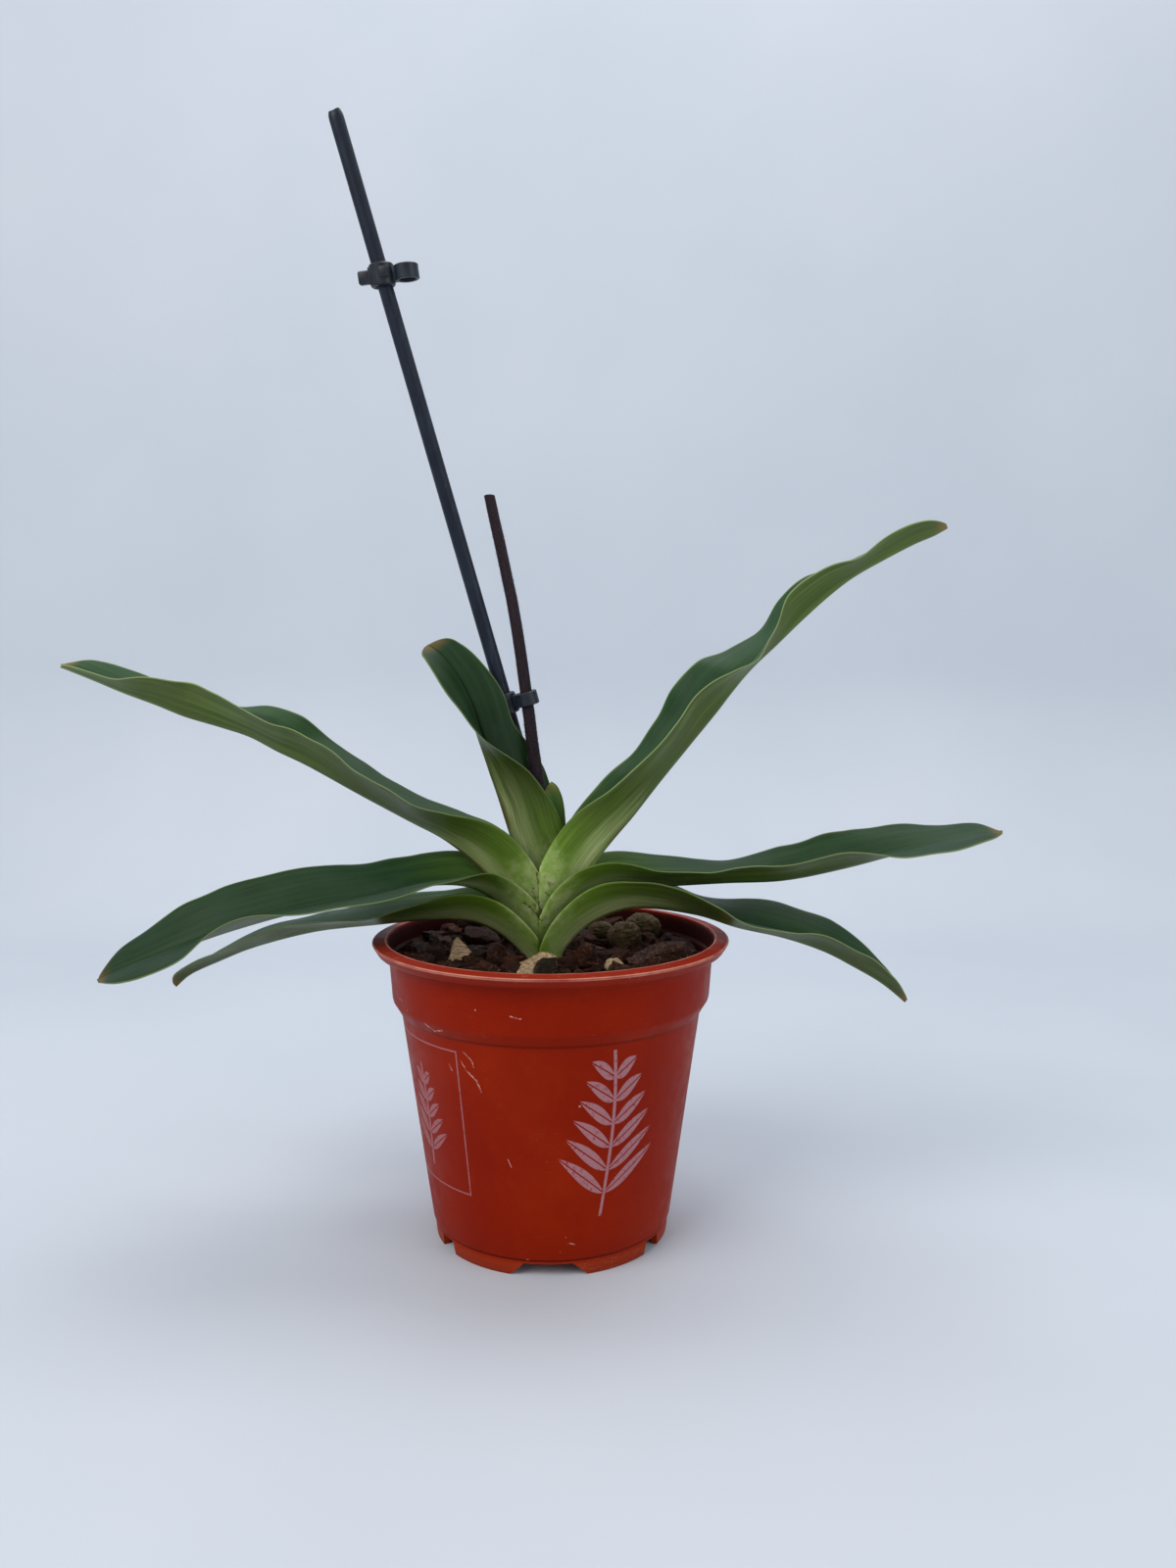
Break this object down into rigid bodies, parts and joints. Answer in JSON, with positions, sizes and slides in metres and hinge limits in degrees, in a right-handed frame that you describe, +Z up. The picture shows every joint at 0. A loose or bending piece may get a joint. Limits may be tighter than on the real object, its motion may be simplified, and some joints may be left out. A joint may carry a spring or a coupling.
{
  "type": "potted orchid",
  "caption": "Slipper orchid out of bloom: long folded strap leaves fanned from one crown, with a cut flower stem clipped to a leaning stake, in a round plastic nursery pot filled with bark.",
  "frame": {"origin": "centre of the plant's overall box in plan, on the table plane that the pot stands on", "axes": "+Z up, along the pot's axis; +X to the right and -Y towards the viewer as pictured, so the fan of leaves spreads along X"},
  "size_m": [0.3178, 0.12, 0.3666],
  "materials": {
    "pot": "semi-matte terracotta-red plastic, scuffed",
    "bark": "damp, rough dark bark",
    "grey_bark": "weathered grey-green bark, rough",
    "tan_chip": "dry tan bark, speckled, rough",
    "crown": "matte yellow-green plant tissue with brown scars",
    "leaf": "satin leaf, finely veined lengthwise",
    "sheath": "satin leaf",
    "flower_stem": "finely hairy dark purple-brown stem",
    "stake": "matte near-black plastic",
    "clip": "satin dark grey-green plastic"
  },
  "bodies": {
    "root": {"pot": "pot", "bark_medium": "bark", "crown": "crown", "flower_sheath": "sheath", "flower_stem": "flower_stem", "stake": "stake", "clip_upper": "clip", "clip_lower": "clip", "leaf_centre": "leaf", "leaf_right_upper": "leaf", "leaf_left_upper": "leaf", "leaf_right_middle": "leaf", "leaf_left_middle": "leaf", "leaf_right_lower": "leaf", "leaf_left_lower": "leaf", "chip_tan_left": "tan_chip", "chip_tan_centre": "tan_chip", "chip_pale_small": "tan_chip", "bark_chunk_right": "bark", "bark_grey_front": "grey_bark", "bark_grey_back": "grey_bark", "bark_grey_left": "grey_bark"}
  },
  "joints": []
}
